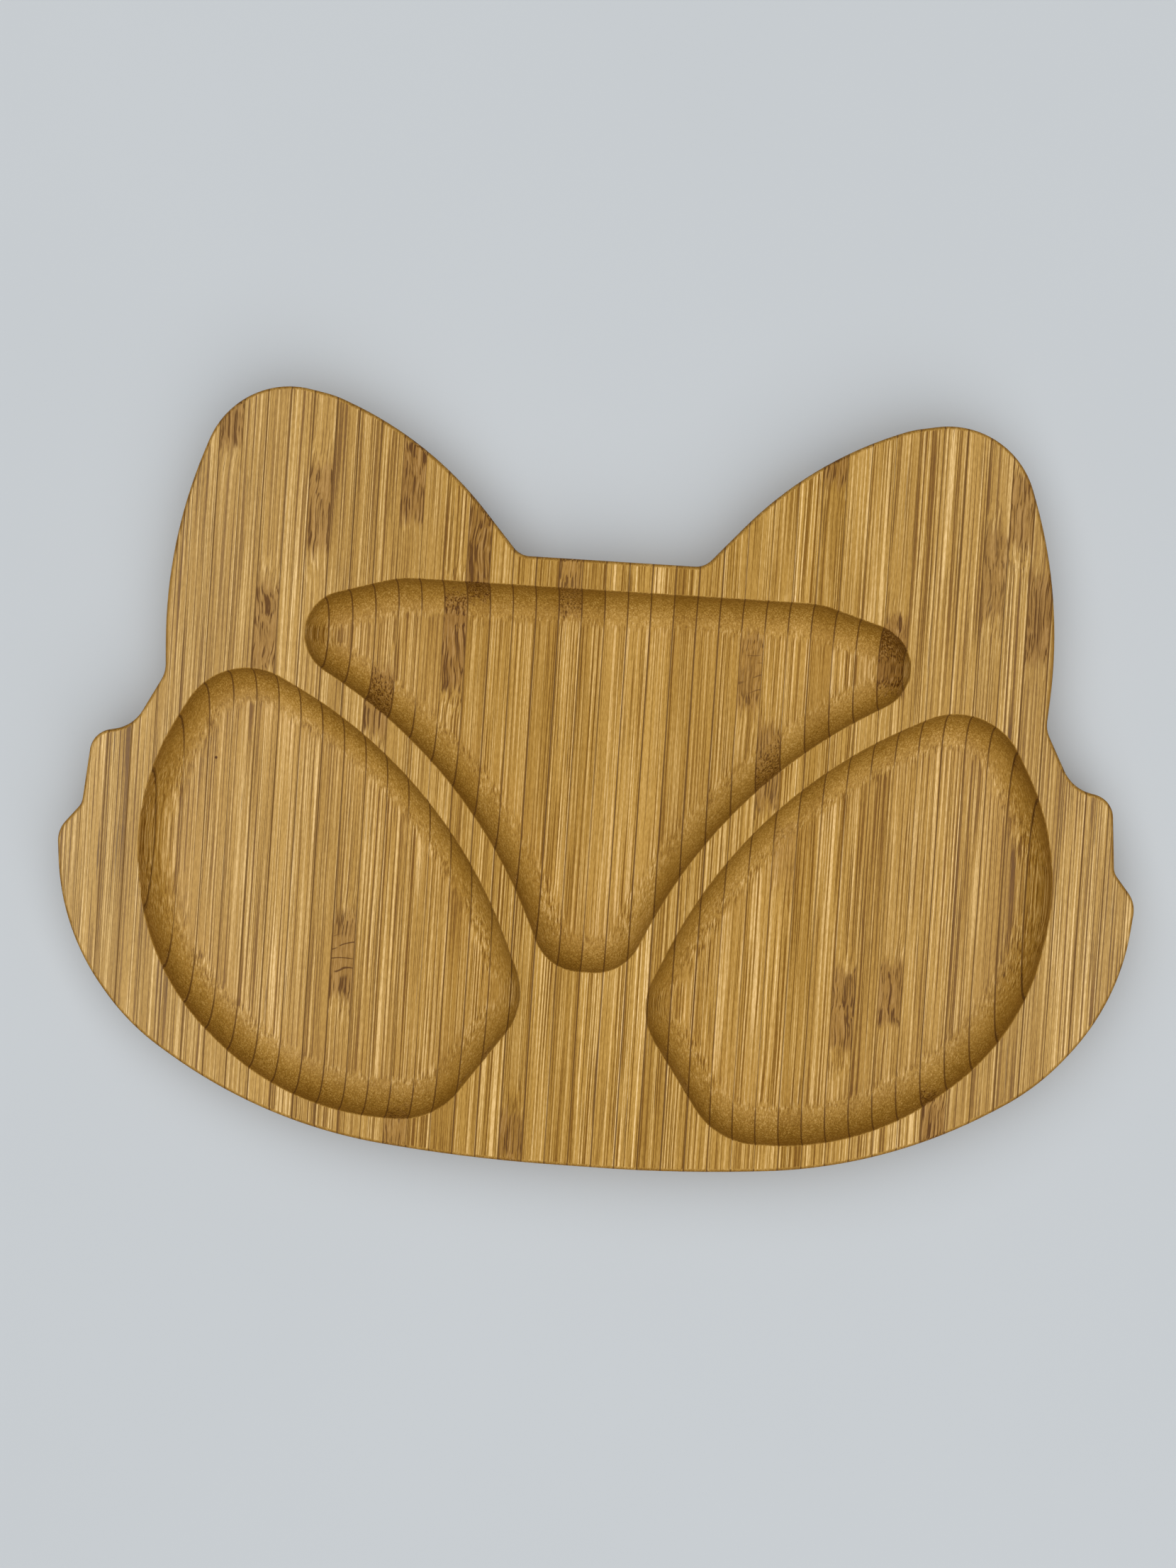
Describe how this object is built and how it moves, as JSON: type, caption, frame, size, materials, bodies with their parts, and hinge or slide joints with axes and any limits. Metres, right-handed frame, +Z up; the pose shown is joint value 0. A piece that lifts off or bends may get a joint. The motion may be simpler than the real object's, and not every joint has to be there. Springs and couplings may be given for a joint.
{
  "type": "divided children's plate",
  "caption": "Children's food plate of edge-glued bamboo strips, cut to a plain animal-head outline with ears and cheek tufts, and routed with coved food compartments.",
  "frame": {"origin": "centre of the plate's bounding box, on its underside", "axes": "+X across the head to the right as seen from above, +Y from the chin to the ears, +Z up from the underside to the rim"},
  "size_m": [0.2498, 0.1762, 0.015],
  "materials": {
    "bamboo": "oiled, satin"
  },
  "bodies": {
    "root": {"bamboo_strip_01": "bamboo", "bamboo_strip_02": "bamboo", "bamboo_strip_03": "bamboo", "bamboo_strip_04": "bamboo", "bamboo_strip_05": "bamboo", "bamboo_strip_06": "bamboo", "bamboo_strip_07": "bamboo", "bamboo_strip_08": "bamboo", "bamboo_strip_09": "bamboo", "bamboo_strip_10": "bamboo", "bamboo_strip_11": "bamboo", "bamboo_strip_12": "bamboo", "bamboo_strip_13": "bamboo", "bamboo_strip_14": "bamboo", "bamboo_strip_15": "bamboo", "bamboo_strip_16": "bamboo", "bamboo_strip_17": "bamboo", "bamboo_strip_18": "bamboo", "bamboo_strip_19": "bamboo", "bamboo_strip_20": "bamboo", "bamboo_strip_21": "bamboo", "bamboo_strip_22": "bamboo", "bamboo_strip_23": "bamboo", "bamboo_strip_24": "bamboo", "bamboo_strip_25": "bamboo", "bamboo_strip_26": "bamboo", "bamboo_strip_27": "bamboo", "bamboo_strip_28": "bamboo", "bamboo_strip_29": "bamboo", "bamboo_strip_30": "bamboo", "bamboo_strip_31": "bamboo", "bamboo_strip_32": "bamboo", "bamboo_strip_33": "bamboo", "bamboo_strip_34": "bamboo", "bamboo_strip_35": "bamboo", "bamboo_strip_36": "bamboo", "bamboo_strip_37": "bamboo", "bamboo_strip_38": "bamboo", "bamboo_strip_39": "bamboo", "bamboo_strip_40": "bamboo", "bamboo_strip_41": "bamboo", "bamboo_strip_42": "bamboo", "bamboo_strip_43": "bamboo", "bamboo_strip_44": "bamboo", "bamboo_strip_45": "bamboo", "bamboo_strip_46": "bamboo", "bamboo_strip_47": "bamboo"}
  },
  "joints": []
}
